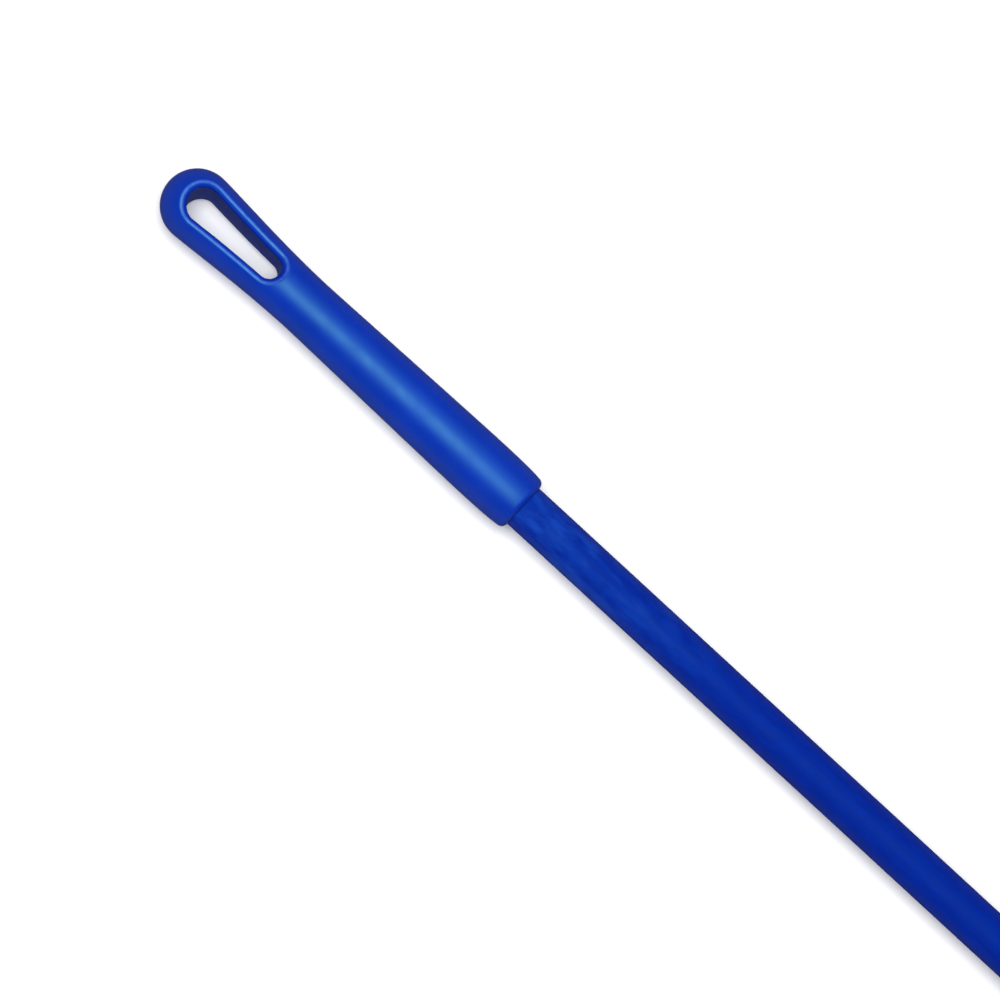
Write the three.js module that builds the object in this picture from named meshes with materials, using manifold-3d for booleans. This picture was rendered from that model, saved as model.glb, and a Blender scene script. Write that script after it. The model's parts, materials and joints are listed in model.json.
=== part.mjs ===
// A two-section boat hook, closed: a moulded grip with a hanging eye, a fibreglass outer tube, a twist
// lock, an aluminium inner tube, and a moulded head with a straight prong and one hook.
//
// Millimetres, +Z up. The pole lies along X with its head towards +X, on the plane z = 0. The origin is
// in that plane, under the middle of the bounding box. Places along the pole are measured from the
// grip's rounded end, from the outer tube's mouth inside the lock, and from the socket's rim in the head.

import * as THREE from 'three';
import { mergeVertices } from 'three/addons/utils/BufferGeometryUtils.js';
import Module from 'manifold-3d';

const wasm = await Module();
wasm.setup();

// ---- Driving dimensions ----

const GAP = 0.3; // between neighbouring pieces
const SIDES = 40; // facets round a turned piece
const HIDDEN_SIDES = 24; // facets round a turned piece that is out of sight
const SMALL_SIDES = 16; // facets round a hole, rivet or screw
const EDGE = 0.5; // chamfer on a cut edge

// Grip: a round end, a neck, a belly and a rounded lip.
const GRIP_LENGTH = 256;
const GRIP_END_RADIUS = 21.1;
const NECK_AT = 101;
const NECK_RADIUS = 15.87;
const BELLY_AT = 226;
const BELLY_RADIUS = 17.5;
const LIP_RADIUS = 16.6;
const LIP_CORNER = 3.2;
const GRIP_SOCKET_AT = 107;
const BULB_HANDLE = 9; // lengths of the curve handles that shape the outline
const NECK_REAR_HANDLE = 35.5;
const NECK_FRONT_HANDLE = 4;
const BELLY_REAR_HANDLE = 20;
const BELLY_FRONT_HANDLE = 10;

// Hanging eye: a tapered slot with round ends.
const EYE_WIDE = { at: 23.8, radius: 9.2 };
const EYE_NARROW = { at: 70.9, radius: 6.3 };

// Outer tube, one inch across, and inner tube, three quarters of an inch.
const OUTER_RADIUS = 12.7;
const OUTER_BORE = 11;
const OUTER_END = 985;
const INNER_RADIUS = 9.5;
const INNER_BORE = 8.25;
const TRAVEL = 700;
const STOP_GAP = 0.8; // left at full reach
const MOUTH_BUSH_LENGTH = 84;
const BUSH_RADIUS = 10.7;
const BUSH_BORE = INNER_RADIUS + GAP;
const CIRCLIP_WIDTH = 1.2;
const CIRCLIP_GROOVE = 9.1;
const GUIDE_BUSH_LENGTH = 27;

// Twist lock.
const FERRULE_RADIUS = 15.2;
const FERRULE_LENGTH = 48;
const FERRULE_TAPER = 8; // length of its tapered tail
const RIVET_HOLE_RADIUS = 1.9;
const O_RING_AT = -13.4;
const O_RING_SECTION = 0.7;
const COLLET_AT = 6.3;
const COLLET_LENGTH = 17.7;
const COLLET_BASE_RADIUS = 14.5;
const COLLET_REAR_RADIUS = 13.7;
const COLLET_NOSE_RADIUS = 12.1;
const COLLET_SLOTS = 6;
const COLLET_SLOT_WIDTH = 1.6;
const THRUST_RING_AT = 13;
const THRUST_RING_LENGTH = 12.5;
const NUT_SIDES = 72;
const NUT_REAR = -18;
const NUT_FRONT = 34;
const NUT_ACROSS_FLATS = 2 * GRIP_END_RADIUS; // so that grip and nut rest on one plane
const NUT_CORNER_RADIUS = 23.2;
const NUT_REAR_RADIUS = 18.4; // at its chamfered rear edge
const NUT_REAR_CHAMFER = 4;
const NUT_NOSE = 11; // length of its nose, which narrows in two steps
const NUT_NOSE_TIP = 4;
const NUT_SHOULDER_RADIUS = 18.6;
const NUT_FACE_RADIUS = 15.4;
const NUT_BORE = 15.6;
const NUT_GROOVE_RADIUS = 1.3;
const NUT_GROOVE_STEP = 9; // degrees between the grooves on a corner
const NUT_WEB = 3; // between the thrust ring and the seal
const SEAL_POCKET_RADIUS = 13;
const SEAL_WIDTH = 3;

// Head.
const HEAD_GAP = 5; // from the nut to the head's socket, with the pole closed
const SOCKET_DEPTH = 60;
const SOCKET_RADIUS = 15;
const COLLAR = { length: 8, height: 1 }; // a raised band round the socket's rim
const SOCKET_TAPER = { from: 50, to: 90, radius: 6 }; // where the socket runs out into the prong
const KEEL = { from: 46, to: 110, aside: 13.5 }; // the edge opposite the hook, from socket to prong
const PLATE_THICKNESS = 18;
const PLATE_ROUNDING = 5;
const THROAT = { at: 88, aside: 33, radius: 19 };
const HOOK_THICKNESS = 14;
const FINGER_TIP = { at: 64, radius: 6.5 };
const PRONG_HALF_WIDTH = 9;
const PRONG_END = 148;
const PRONG_ROOT_FILLET = 14;
const SPIGOT_RADIUS = 5;
const SPIGOT_LENGTH = 12;
const HEAD_LENGTH = 166;
const HEAD_SCREWS_AT = { left: 22, right: 38 };
const SCREW_SEAT = 13.2; // from the axis to the flat under a screw's head
const SCREW_HOLE_RADIUS = 2.2;
const SCREW_HEAD_RADIUS = 3.6;
const SCREW_SHANK_RADIUS = 1.9;
const RIVET_HEAD_RADIUS = 3;
const RIVET_SHANK_RADIUS = 1.5;

// ---- Worked-out places ----

const HEAD_AT = OUTER_END + NUT_FRONT + HEAD_GAP;
const TOTAL_LENGTH = HEAD_AT + HEAD_LENGTH;
const HOOK_OUTER_RADIUS = THROAT.radius + HOOK_THICKNESS;
const HOOK_REACH = THROAT.aside + HOOK_OUTER_RADIUS;
const AXIS_HEIGHT = GRIP_END_RADIUS;
const AXIS_ASIDE = (NUT_CORNER_RADIUS - HOOK_REACH) / 2;
const FRONT_CLIP_AT = OUTER_END - MOUTH_BUSH_LENGTH - STOP_GAP - TRAVEL - CIRCLIP_WIDTH;
const REAR_CLIP_AT = FRONT_CLIP_AT - GUIDE_BUSH_LENGTH - 2 * GAP - CIRCLIP_WIDTH;
const INNER_START = REAR_CLIP_AT - 5;
const INNER_END = HEAD_AT + SOCKET_DEPTH - 0.5;
const RIVETS_AT = OUTER_END - 30;
const COLLET_END = COLLET_AT + COLLET_LENGTH;
const TAPER_AT = COLLET_AT + 5;
const NUT_SHOULDER = THRUST_RING_AT + THRUST_RING_LENGTH + GAP;
const SEAL_POCKET_AT = NUT_SHOULDER + NUT_WEB;
const SEAL_AT = SEAL_POCKET_AT + GAP;

// ---- Materials ----

const paint = (color, roughness, metalness) => {
  return new THREE.MeshStandardMaterial({ color, roughness, metalness });
};
const gripBlue = paint(0x0836ac, 0.42, 0);
const poleBlue = paint(0x022a9e, 0.5, 0);
const lockBlack = paint(0x17191c, 0.55, 0);
const headWhite = paint(0xe6e7e4, 0.45, 0);
const aluminium = paint(0xb9bdc1, 0.32, 1);
const stainless = paint(0xc4c6c8, 0.25, 1);
const nylon = paint(0xd9d5c8, 0.5, 0);
const foam = paint(0x2a2c30, 0.9, 0);
const rubber = paint(0x111214, 0.8, 0);

// ---- Ways of making a solid ----

// A closed geometry with its shared corners merged and no triangle without an area.
function closed(geometry) {
  const bare = geometry.clone();
  bare.deleteAttribute('normal');
  bare.deleteAttribute('uv');
  const merged = mergeVertices(bare, 1e-3);
  const corners = [...merged.index.array];
  const kept = [];
  for (let i = 0; i < corners.length; i += 3) {
    const [a, b, c] = corners.slice(i, i + 3);
    if (a !== b && b !== c && c !== a) kept.push(a, b, c);
  }
  merged.setIndex(kept);
  merged.computeVertexNormals();
  return merged;
}

function toSolid(geometry) {
  const { index, attributes } = closed(geometry);
  return new wasm.Manifold(new wasm.Mesh({
    numProp: 3,
    vertProperties: new Float32Array(attributes.position.array),
    triVerts: new Uint32Array(index.array),
  }));
}

function toGeometry(solid) {
  const { vertProperties, triVerts } = solid.getMesh();
  const geometry = new THREE.BufferGeometry();
  geometry.setAttribute('position', new THREE.BufferAttribute(vertProperties, 3));
  geometry.setIndex(new THREE.BufferAttribute(triVerts, 1));
  geometry.computeVertexNormals();
  return geometry;
}

function cut(geometry, ...cutters) {
  return toGeometry(cutters.reduce((solid, cutter) => solid.subtract(toSolid(cutter)), toSolid(geometry)));
}

function join(geometry, ...others) {
  return toGeometry(others.reduce((solid, other) => solid.add(toSolid(other)), toSolid(geometry)));
}

function common(geometry, other) {
  return toGeometry(toSolid(geometry).intersect(toSolid(other)));
}

// An outline of [place along the pole, radius] turned about the pole's axis. It runs forwards outside
// and backwards inside, and either starts and ends on the axis or closes on itself.
function turned(outline, sides = SIDES) {
  const points = outline.map(([along, radius]) => new THREE.Vector2(radius, along));
  return new THREE.LatheGeometry(points, sides).rotateZ(-Math.PI / 2);
}

function turnedRing(outline, sides = SIDES) {
  return turned([...outline, outline[0]], sides);
}

// A round bar with chamfered ends.
function bar(from, to, radius, edge = EDGE, sides = HIDDEN_SIDES) {
  return turned([
    [from, 0], [from, radius - edge], [from + edge, radius],
    [to - edge, radius], [to, radius - edge], [to, 0],
  ], sides);
}

// A round sleeve with chamfered outer edges.
function sleeve(from, to, bore, radius, edge = EDGE, sides = HIDDEN_SIDES) {
  return turnedRing([
    [from, bore], [from, radius - edge], [from + edge, radius],
    [to - edge, radius], [to, radius - edge], [to, bore],
  ], sides);
}

// A cross hole's cutter: a rod along Y at a place along the pole, from one distance aside to another.
function crossRod(along, radius, from, to) {
  const rod = new THREE.CylinderGeometry(radius, radius, to - from, SMALL_SIDES);
  return rod.translate(along, (from + to) / 2, 0);
}

function piece(name, geometry, material) {
  const mesh = new THREE.Mesh(closed(geometry), material);
  mesh.name = name;
  return mesh;
}

// The points of a curve as [x, y] pairs.
function pairs(curve, divisions) {
  return curve.getPoints(divisions).map((point) => [point.x, point.y]);
}

function arc(x, y, radius, startDegrees, endDegrees, divisions) {
  const toRadians = THREE.MathUtils.degToRad;
  const clockwise = endDegrees < startDegrees;
  const start = toRadians(startDegrees);
  const end = toRadians(endDegrees);
  return pairs(new THREE.EllipseCurve(x, y, radius, radius, start, end, clockwise), divisions);
}

function bend(from, handle, handle2, to, divisions) {
  const points = [from, handle, handle2, to].map(([x, y]) => new THREE.Vector2(x, y));
  return pairs(new THREE.CubicBezierCurve(...points), divisions);
}

// ---- Grip ----

function gripOutline() {
  const lipAt = GRIP_LENGTH - LIP_CORNER;
  const bulb = [GRIP_END_RADIUS, GRIP_END_RADIUS];
  const neck = [NECK_AT, NECK_RADIUS];
  const belly = [BELLY_AT, BELLY_RADIUS];
  const lip = [lipAt, LIP_RADIUS];
  const bellyHandle = [belly[0] - BELLY_REAR_HANDLE, belly[1]];
  const bore = OUTER_RADIUS + GAP;
  return [
    ...arc(GRIP_END_RADIUS, 0, GRIP_END_RADIUS, 180, 90, 9),
    ...bend(bulb, [bulb[0] + BULB_HANDLE, bulb[1]], [neck[0] - NECK_REAR_HANDLE, neck[1]], neck, 10).slice(1),
    ...bend(neck, [neck[0] + NECK_FRONT_HANDLE, neck[1]], bellyHandle, belly, 6).slice(1),
    ...bend(belly, [belly[0] + BELLY_FRONT_HANDLE, belly[1]], [lipAt - 6, LIP_RADIUS + 0.8], lip, 4).slice(1),
    ...arc(lipAt, LIP_RADIUS - LIP_CORNER, LIP_CORNER, 90, 0, 4).slice(1),
    [GRIP_LENGTH, bore],
    [GRIP_SOCKET_AT, bore],
    [GRIP_SOCKET_AT, 0],
  ];
}

// The eye's outline: two round ends and the straight sides that touch both.
function eyeShape() {
  const spread = EYE_NARROW.at - EYE_WIDE.at;
  const slope = Math.asin((EYE_WIDE.radius - EYE_NARROW.radius) / spread);
  const side = Math.PI / 2 - slope;
  const shape = new THREE.Shape();
  shape.absarc(EYE_WIDE.at, 0, EYE_WIDE.radius, side, -side, false);
  shape.absarc(EYE_NARROW.at, 0, EYE_NARROW.radius, -side, side, false);
  return shape;
}

function handGrip() {
  const depth = 3 * GRIP_END_RADIUS;
  const eye = new THREE.ExtrudeGeometry(eyeShape(), { depth, bevelEnabled: false, curveSegments: 14 });
  return cut(turned(gripOutline()), eye.translate(0, 0, -depth / 2));
}

// ---- Outer section ----

function outerTube() {
  const tube = sleeve(GRIP_SOCKET_AT + 0.8, OUTER_END, OUTER_BORE, OUTER_RADIUS, EDGE, SIDES);
  return cut(tube, crossRod(RIVETS_AT, RIVET_HOLE_RADIUS, -20, 20));
}

function mouthBush() {
  const flangeAt = OUTER_END + GAP;
  const bush = turnedRing([
    [OUTER_END - MOUTH_BUSH_LENGTH, BUSH_BORE],
    [OUTER_END - MOUTH_BUSH_LENGTH, BUSH_RADIUS],
    [flangeAt, BUSH_RADIUS],
    [flangeAt, OUTER_RADIUS - GAP],
    [flangeAt + 2, OUTER_RADIUS - GAP],
    [flangeAt + 2, BUSH_BORE],
  ], HIDDEN_SIDES);
  return cut(bush, crossRod(RIVETS_AT, RIVET_HOLE_RADIUS, -20, 20));
}

// ---- Twist lock, measured from the outer tube's mouth ----

function lockFerrule() {
  const bore = OUTER_RADIUS + GAP;
  const grooveRadius = FERRULE_RADIUS - 1.3;
  const grooveHalf = 1;
  const body = turnedRing([
    [-FERRULE_LENGTH, bore],
    [-FERRULE_LENGTH, bore + 1],
    [-FERRULE_LENGTH + FERRULE_TAPER, FERRULE_RADIUS],
    [O_RING_AT - grooveHalf, FERRULE_RADIUS],
    [O_RING_AT - grooveHalf, grooveRadius],
    [O_RING_AT + grooveHalf, grooveRadius],
    [O_RING_AT + grooveHalf, FERRULE_RADIUS],
    [5.5, FERRULE_RADIUS],
    [6, FERRULE_RADIUS - 0.5],
    [6, BUSH_BORE + 0.2],
    [2.6, BUSH_BORE + 0.2],
    [2.6, bore],
  ]);
  return cut(body, crossRod(RIVETS_AT - OUTER_END, RIVET_HOLE_RADIUS, -20, 20));
}

// A ring of round section about the pole.
function oRing(along, radius, section) {
  return turnedRing(arc(along, radius, section, 180, -180, 8).slice(1), HIDDEN_SIDES);
}

function collet() {
  const body = turnedRing([
    [COLLET_AT, BUSH_BORE],
    [COLLET_AT, COLLET_BASE_RADIUS],
    [COLLET_AT + 4, COLLET_BASE_RADIUS],
    [COLLET_AT + 4, COLLET_REAR_RADIUS],
    [TAPER_AT, COLLET_REAR_RADIUS],
    [COLLET_END, COLLET_NOSE_RADIUS],
    [COLLET_END, BUSH_BORE],
  ], HIDDEN_SIDES);
  const slotAt = COLLET_AT + 3;
  const length = COLLET_END - slotAt + 1;
  const slots = Array.from({ length: COLLET_SLOTS }, (_, i) => {
    const slot = new THREE.BoxGeometry(length, 10, COLLET_SLOT_WIDTH);
    slot.translate(slotAt + length / 2, BUSH_BORE + 2, 0);
    return slot.rotateX(((i + 0.5) / COLLET_SLOTS) * 2 * Math.PI);
  });
  return cut(body, ...slots);
}

function thrustRing() {
  const ringEnd = THRUST_RING_AT + THRUST_RING_LENGTH;
  const slope = (COLLET_REAR_RADIUS - COLLET_NOSE_RADIUS) / (COLLET_END - TAPER_AT);
  const boreAt = (along) => COLLET_REAR_RADIUS + GAP - slope * (along - TAPER_AT);
  return turnedRing([
    [THRUST_RING_AT, boreAt(THRUST_RING_AT)],
    [THRUST_RING_AT, FERRULE_RADIUS],
    [ringEnd, FERRULE_RADIUS],
    [ringEnd, boreAt(ringEnd)],
  ], HIDDEN_SIDES);
}

// The nut's outside is a hexagonal bar within a turned outline, so its corners are round, with grip
// grooves along them. Flats face up and down.
function lockNut() {
  const hexagon = new THREE.Shape(Array.from({ length: 6 }, (_, i) => {
    const corner = NUT_ACROSS_FLATS / 2 / Math.cos(Math.PI / 6);
    return new THREE.Vector2(corner * Math.cos(i * Math.PI / 3), corner * Math.sin(i * Math.PI / 3));
  }));
  const depth = NUT_FRONT - NUT_REAR;
  const hexagonBar = new THREE.ExtrudeGeometry(hexagon, { depth, bevelEnabled: false });
  hexagonBar.rotateZ(-Math.PI / 2).rotateY(Math.PI / 2).translate(NUT_REAR, 0, 0);
  const envelope = turned([
    [NUT_REAR, 0], [NUT_REAR, NUT_REAR_RADIUS], [NUT_REAR + NUT_REAR_CHAMFER, NUT_CORNER_RADIUS],
    [NUT_FRONT - NUT_NOSE, NUT_CORNER_RADIUS], [NUT_FRONT - NUT_NOSE_TIP, NUT_SHOULDER_RADIUS],
    [NUT_FRONT, NUT_FACE_RADIUS], [NUT_FRONT, 0],
  ], NUT_SIDES);
  const webBore = BUSH_BORE + 0.4;
  const bore = turned([
    [NUT_REAR - 1, 0], [NUT_REAR - 1, NUT_BORE], [NUT_SHOULDER, NUT_BORE],
    [NUT_SHOULDER, webBore], [SEAL_POCKET_AT, webBore],
    [SEAL_POCKET_AT, SEAL_POCKET_RADIUS], [NUT_FRONT + 1, SEAL_POCKET_RADIUS], [NUT_FRONT + 1, 0],
  ]);
  const grooves = [];
  for (let corner = 0; corner < 6; corner += 1) {
    for (const step of [-1, 0, 1]) {
      const groove = new THREE.CylinderGeometry(NUT_GROOVE_RADIUS, NUT_GROOVE_RADIUS, depth + 2, 6);
      groove.rotateZ(Math.PI / 2).translate((NUT_REAR + NUT_FRONT) / 2, NUT_CORNER_RADIUS + 0.2, 0);
      grooves.push(groove.rotateX(THREE.MathUtils.degToRad(corner * 60 + step * NUT_GROOVE_STEP)));
    }
  }
  return cut(common(hexagonBar, envelope), bore, ...grooves);
}

// ---- Inner section ----

function innerTube() {
  const tube = turnedRing([
    [INNER_START, INNER_BORE],
    [INNER_START, INNER_RADIUS],
    ...[REAR_CLIP_AT, FRONT_CLIP_AT].flatMap((clip) => [
      [clip - GAP, INNER_RADIUS],
      [clip - GAP, CIRCLIP_GROOVE],
      [clip + CIRCLIP_WIDTH + GAP, CIRCLIP_GROOVE],
      [clip + CIRCLIP_WIDTH + GAP, INNER_RADIUS],
    ]),
    [INNER_END, INNER_RADIUS],
    [INNER_END, INNER_BORE],
  ]);
  return cut(
    tube,
    crossRod(HEAD_AT + HEAD_SCREWS_AT.left, SCREW_HOLE_RADIUS, 0, 20),
    crossRod(HEAD_AT + HEAD_SCREWS_AT.right, SCREW_HOLE_RADIUS, -20, 0),
  );
}

function guideBush() {
  const from = REAR_CLIP_AT + CIRCLIP_WIDTH + GAP;
  return sleeve(from, from + GUIDE_BUSH_LENGTH, BUSH_BORE, BUSH_RADIUS);
}

// An open ring: a flat ring with a gap at its lower side.
function circlip(from) {
  const whole = sleeve(from, from + CIRCLIP_WIDTH, CIRCLIP_GROOVE + 0.25, BUSH_RADIUS - 0.3, 0.2);
  return cut(whole, new THREE.BoxGeometry(4, 4, 10).translate(from, 0, -INNER_RADIUS));
}

// ---- Head, measured from the socket's rim ----

function headPlateShape() {
  const { at, aside, radius } = THROAT;
  const filletAside = PRONG_HALF_WIDTH + PRONG_ROOT_FILLET;
  const reach = HOOK_OUTER_RADIUS + PRONG_ROOT_FILLET;
  const filletAt = at + Math.sqrt(reach ** 2 - (aside - filletAside) ** 2);
  const meeting = THREE.MathUtils.radToDeg(Math.atan2(aside - filletAside, filletAt - at));
  const throatFloor = aside - radius;
  const keel = [KEEL.from, -KEEL.aside];
  const points = [
    ...bend(keel, [keel[0] + 24, keel[1]], [KEEL.to - 30, -PRONG_HALF_WIDTH], [KEEL.to, -PRONG_HALF_WIDTH], 6),
    [PRONG_END, -PRONG_HALF_WIDTH],
    [PRONG_END, PRONG_HALF_WIDTH],
    ...arc(filletAt, filletAside, PRONG_ROOT_FILLET, 270, 180 - meeting, 6),
    ...arc(at, aside, HOOK_OUTER_RADIUS, -meeting, 90, 12).slice(1),
    ...arc(FINGER_TIP.at, HOOK_REACH - FINGER_TIP.radius, FINGER_TIP.radius, 90, 270, 8),
    ...arc(at, aside, radius, 90, -90, 16),
    [KEEL.from, throatFloor],
  ];
  return new THREE.Shape(points.map(([x, y]) => new THREE.Vector2(x, y)));
}

function hookHead() {
  const flat = PLATE_THICKNESS - 2 * PLATE_ROUNDING;
  const plate = new THREE.ExtrudeGeometry(headPlateShape(), {
    depth: flat,
    bevelSize: PLATE_ROUNDING,
    bevelThickness: PLATE_ROUNDING,
    bevelOffset: -PLATE_ROUNDING,
    bevelSegments: 3,
  });
  plate.translate(0, 0, -flat / 2);
  const { from, to, radius } = SOCKET_TAPER;
  const collarRadius = SOCKET_RADIUS + COLLAR.height;
  const socket = turned([
    [0, 0], [0, SOCKET_RADIUS], [1, collarRadius], [COLLAR.length - 1, collarRadius],
    [COLLAR.length, SOCKET_RADIUS],
    ...bend([from, SOCKET_RADIUS], [from + 16, SOCKET_RADIUS], [to - 12, radius + 5], [to, radius], 6), [to, 0],
  ]);
  const spigot = turned([
    [PRONG_END - 8, 0], [PRONG_END - 8, SPIGOT_RADIUS],
    [PRONG_END + SPIGOT_LENGTH - EDGE, SPIGOT_RADIUS],
    [PRONG_END + SPIGOT_LENGTH, SPIGOT_RADIUS - EDGE], [PRONG_END + SPIGOT_LENGTH, 0],
  ], 24);
  const bore = bar(-1, SOCKET_DEPTH, INNER_RADIUS + GAP, 0.1);
  const left = screwHole(HEAD_SCREWS_AT.left, 1);
  const right = screwHole(HEAD_SCREWS_AT.right, -1);
  return cut(join(plate, socket, spigot), bore, ...left, ...right);
}

// A screw's hole and the flat seat for its head, on one side of the socket.
function screwHole(along, side) {
  const seatRadius = SCREW_HEAD_RADIUS + 0.4;
  const hole = new THREE.CylinderGeometry(SCREW_HOLE_RADIUS, SCREW_HOLE_RADIUS, 12, SMALL_SIDES);
  const seat = new THREE.CylinderGeometry(seatRadius, seatRadius, 8, SMALL_SIDES);
  return [hole.translate(along, side * 11, 0), seat.translate(along, side * (SCREW_SEAT + 4), 0)];
}

function tipBumper() {
  const nose = HEAD_LENGTH - PRONG_HALF_WIDTH;
  return turned([
    [PRONG_END + SPIGOT_LENGTH + GAP, 0],
    [PRONG_END + SPIGOT_LENGTH + GAP, SPIGOT_RADIUS + GAP],
    [PRONG_END + GAP, SPIGOT_RADIUS + GAP],
    [PRONG_END + GAP, PRONG_HALF_WIDTH - 1],
    [PRONG_END + GAP + 1, PRONG_HALF_WIDTH],
    ...arc(nose, 0, PRONG_HALF_WIDTH, 90, 0, 6),
  ], HIDDEN_SIDES);
}

// ---- Small fasteners, turned about Y with their heads towards +Y ----

function turnedAboutY(outline) {
  return new THREE.LatheGeometry(outline.map((pair) => new THREE.Vector2(...pair)), SMALL_SIDES);
}

// The shank starts just clear of the inner tube, and the domed head rests on the ferrule.
function rivet() {
  const start = BUSH_BORE + 0.2;
  const seat = FERRULE_RADIUS + GAP;
  return turnedAboutY([
    [0, start], [RIVET_SHANK_RADIUS, start], [RIVET_SHANK_RADIUS, seat], [RIVET_HEAD_RADIUS, seat],
    [2.4, seat + 0.7], [1.3, seat + 1], [0, seat + 1.1],
  ]);
}

// A pan head screw with a cross recess. Its shank ends inside the inner tube.
function headScrew() {
  const end = 6.3;
  const seat = SCREW_SEAT + GAP;
  const body = turnedAboutY([
    [0, end], [1.2, end], [SCREW_SHANK_RADIUS, end + 1], [SCREW_SHANK_RADIUS, seat], [SCREW_HEAD_RADIUS, seat],
    [SCREW_HEAD_RADIUS, seat + 1.1], [2.9, seat + 1.9], [1.6, seat + 2.3], [0, seat + 2.4],
  ]);
  const recess = [0, Math.PI / 2].map((turn) => {
    return new THREE.BoxGeometry(3.6, 3, 0.8).rotateY(turn).translate(0, seat + 2.7, 0);
  });
  return cut(body, ...recess);
}

// ---- The assembly ----

function placed(mesh, along, turnDegrees = 0) {
  mesh.position.x = along;
  mesh.rotation.x = THREE.MathUtils.degToRad(turnDegrees);
  return mesh;
}

function groupAt(along, ...children) {
  const group = new THREE.Group();
  group.position.x = along;
  return group.add(...children);
}

const outerPlug = bar(GRIP_SOCKET_AT + 1.8, GRIP_SOCKET_AT + 43, OUTER_BORE - GAP, 1.5);
const innerPlug = bar(INNER_START + 1, INNER_START + 31, INNER_BORE - GAP, 1);
const headPlug = bar(SOCKET_DEPTH - 15, SOCKET_DEPTH - 2, INNER_BORE - GAP, 1);
const seal = sleeve(SEAL_AT, SEAL_AT + SEAL_WIDTH, BUSH_BORE, SEAL_POCKET_RADIUS - GAP);
const retainer = sleeve(SEAL_AT + SEAL_WIDTH + GAP, NUT_FRONT - 0.4, 10.4, SEAL_POCKET_RADIUS - GAP);

const outerSection = groupAt(
  0,
  piece('hand_grip', handGrip(), gripBlue),
  piece('outer_tube', outerTube(), poleBlue),
  piece('outer_float_plug', outerPlug, foam),
  piece('mouth_bush', mouthBush(), nylon),
);

const twistLock = groupAt(
  OUTER_END,
  piece('lock_ferrule', lockFerrule(), lockBlack),
  placed(piece('ferrule_rivet_left', rivet(), stainless), RIVETS_AT - OUTER_END),
  placed(piece('ferrule_rivet_right', rivet(), stainless), RIVETS_AT - OUTER_END, 180),
  piece('ferrule_o_ring', oRing(O_RING_AT, FERRULE_RADIUS - 0.42, O_RING_SECTION), rubber),
  piece('collet', collet(), nylon),
  piece('thrust_ring', thrustRing(), nylon),
  piece('lock_nut', lockNut(), lockBlack),
  piece('wiper_seal', seal, rubber),
  piece('seal_retainer', retainer, lockBlack),
);

const innerSection = groupAt(
  0,
  piece('inner_tube', innerTube(), aluminium),
  piece('inner_float_plug', innerPlug, foam),
  piece('bush_circlip_rear', circlip(REAR_CLIP_AT), stainless),
  piece('guide_bush', guideBush(), nylon),
  piece('bush_circlip_front', circlip(FRONT_CLIP_AT), stainless),
);

const head = groupAt(
  HEAD_AT,
  piece('head_float_plug', headPlug, foam),
  piece('hook_head', hookHead(), headWhite),
  placed(piece('head_screw_left', headScrew(), stainless), HEAD_SCREWS_AT.left),
  placed(piece('head_screw_right', headScrew(), stainless), HEAD_SCREWS_AT.right, 180),
  piece('tip_bumper', tipBumper(), rubber),
);

const boatHook = new THREE.Group();
boatHook.add(outerSection, twistLock, innerSection, head);
boatHook.position.set(-TOTAL_LENGTH / 2, AXIS_ASIDE, AXIS_HEIGHT);

export default boatHook;
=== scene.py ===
import json
import math

import bpy
import numpy as np
from mathutils import Matrix, Vector


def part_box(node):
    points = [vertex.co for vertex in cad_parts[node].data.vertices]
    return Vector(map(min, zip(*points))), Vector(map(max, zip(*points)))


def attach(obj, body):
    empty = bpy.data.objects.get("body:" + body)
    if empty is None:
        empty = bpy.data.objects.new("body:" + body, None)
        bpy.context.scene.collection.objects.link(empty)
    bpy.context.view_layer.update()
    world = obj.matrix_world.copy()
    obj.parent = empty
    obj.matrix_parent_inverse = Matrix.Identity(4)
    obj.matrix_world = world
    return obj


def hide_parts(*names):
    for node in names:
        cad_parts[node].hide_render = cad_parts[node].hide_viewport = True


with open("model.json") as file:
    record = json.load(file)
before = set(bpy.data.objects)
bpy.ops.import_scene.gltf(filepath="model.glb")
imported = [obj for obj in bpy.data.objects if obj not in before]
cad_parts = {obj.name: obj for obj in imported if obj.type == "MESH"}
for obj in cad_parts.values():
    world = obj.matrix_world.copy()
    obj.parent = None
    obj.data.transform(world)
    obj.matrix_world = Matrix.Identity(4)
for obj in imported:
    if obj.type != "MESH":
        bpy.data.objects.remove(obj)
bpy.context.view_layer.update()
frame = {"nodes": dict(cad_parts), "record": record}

# Shapes are worked out in millimetres in the pole's own frame: along the pole from the grip's rounded
# end, aside towards the hook's side, and up, both from the pole's axis.
MM = 0.001


def span(node):
    """Where a CAD node starts and ends along the pole, in the pole's frame."""
    low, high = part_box(node)
    return (low.x - GRIP_LOW.x) / MM, (high.x - GRIP_LOW.x) / MM


GRIP_LOW, GRIP_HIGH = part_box("hand_grip")
TUBE_LOW, TUBE_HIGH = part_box("outer_tube")
AXIS = Vector((GRIP_LOW.x, (TUBE_LOW.y + TUBE_HIGH.y) / 2, (TUBE_LOW.z + TUBE_HIGH.z) / 2))
GRIP_LENGTH = (GRIP_HIGH.x - GRIP_LOW.x) / MM
GRIP_END_RADIUS = (GRIP_HIGH.z - GRIP_LOW.z) / MM / 2
OUTER_RADIUS = (TUBE_HIGH.z - TUBE_LOW.z) / MM / 2
OUTER_START, OUTER_END = span("outer_tube")
INNER_LOW, INNER_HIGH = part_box("inner_tube")
INNER_RADIUS = (INNER_HIGH.z - INNER_LOW.z) / MM / 2
INNER_START, INNER_END = span("inner_tube")
HEAD_AT = span("hook_head")[0]


# ---- Camera ----

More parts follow.
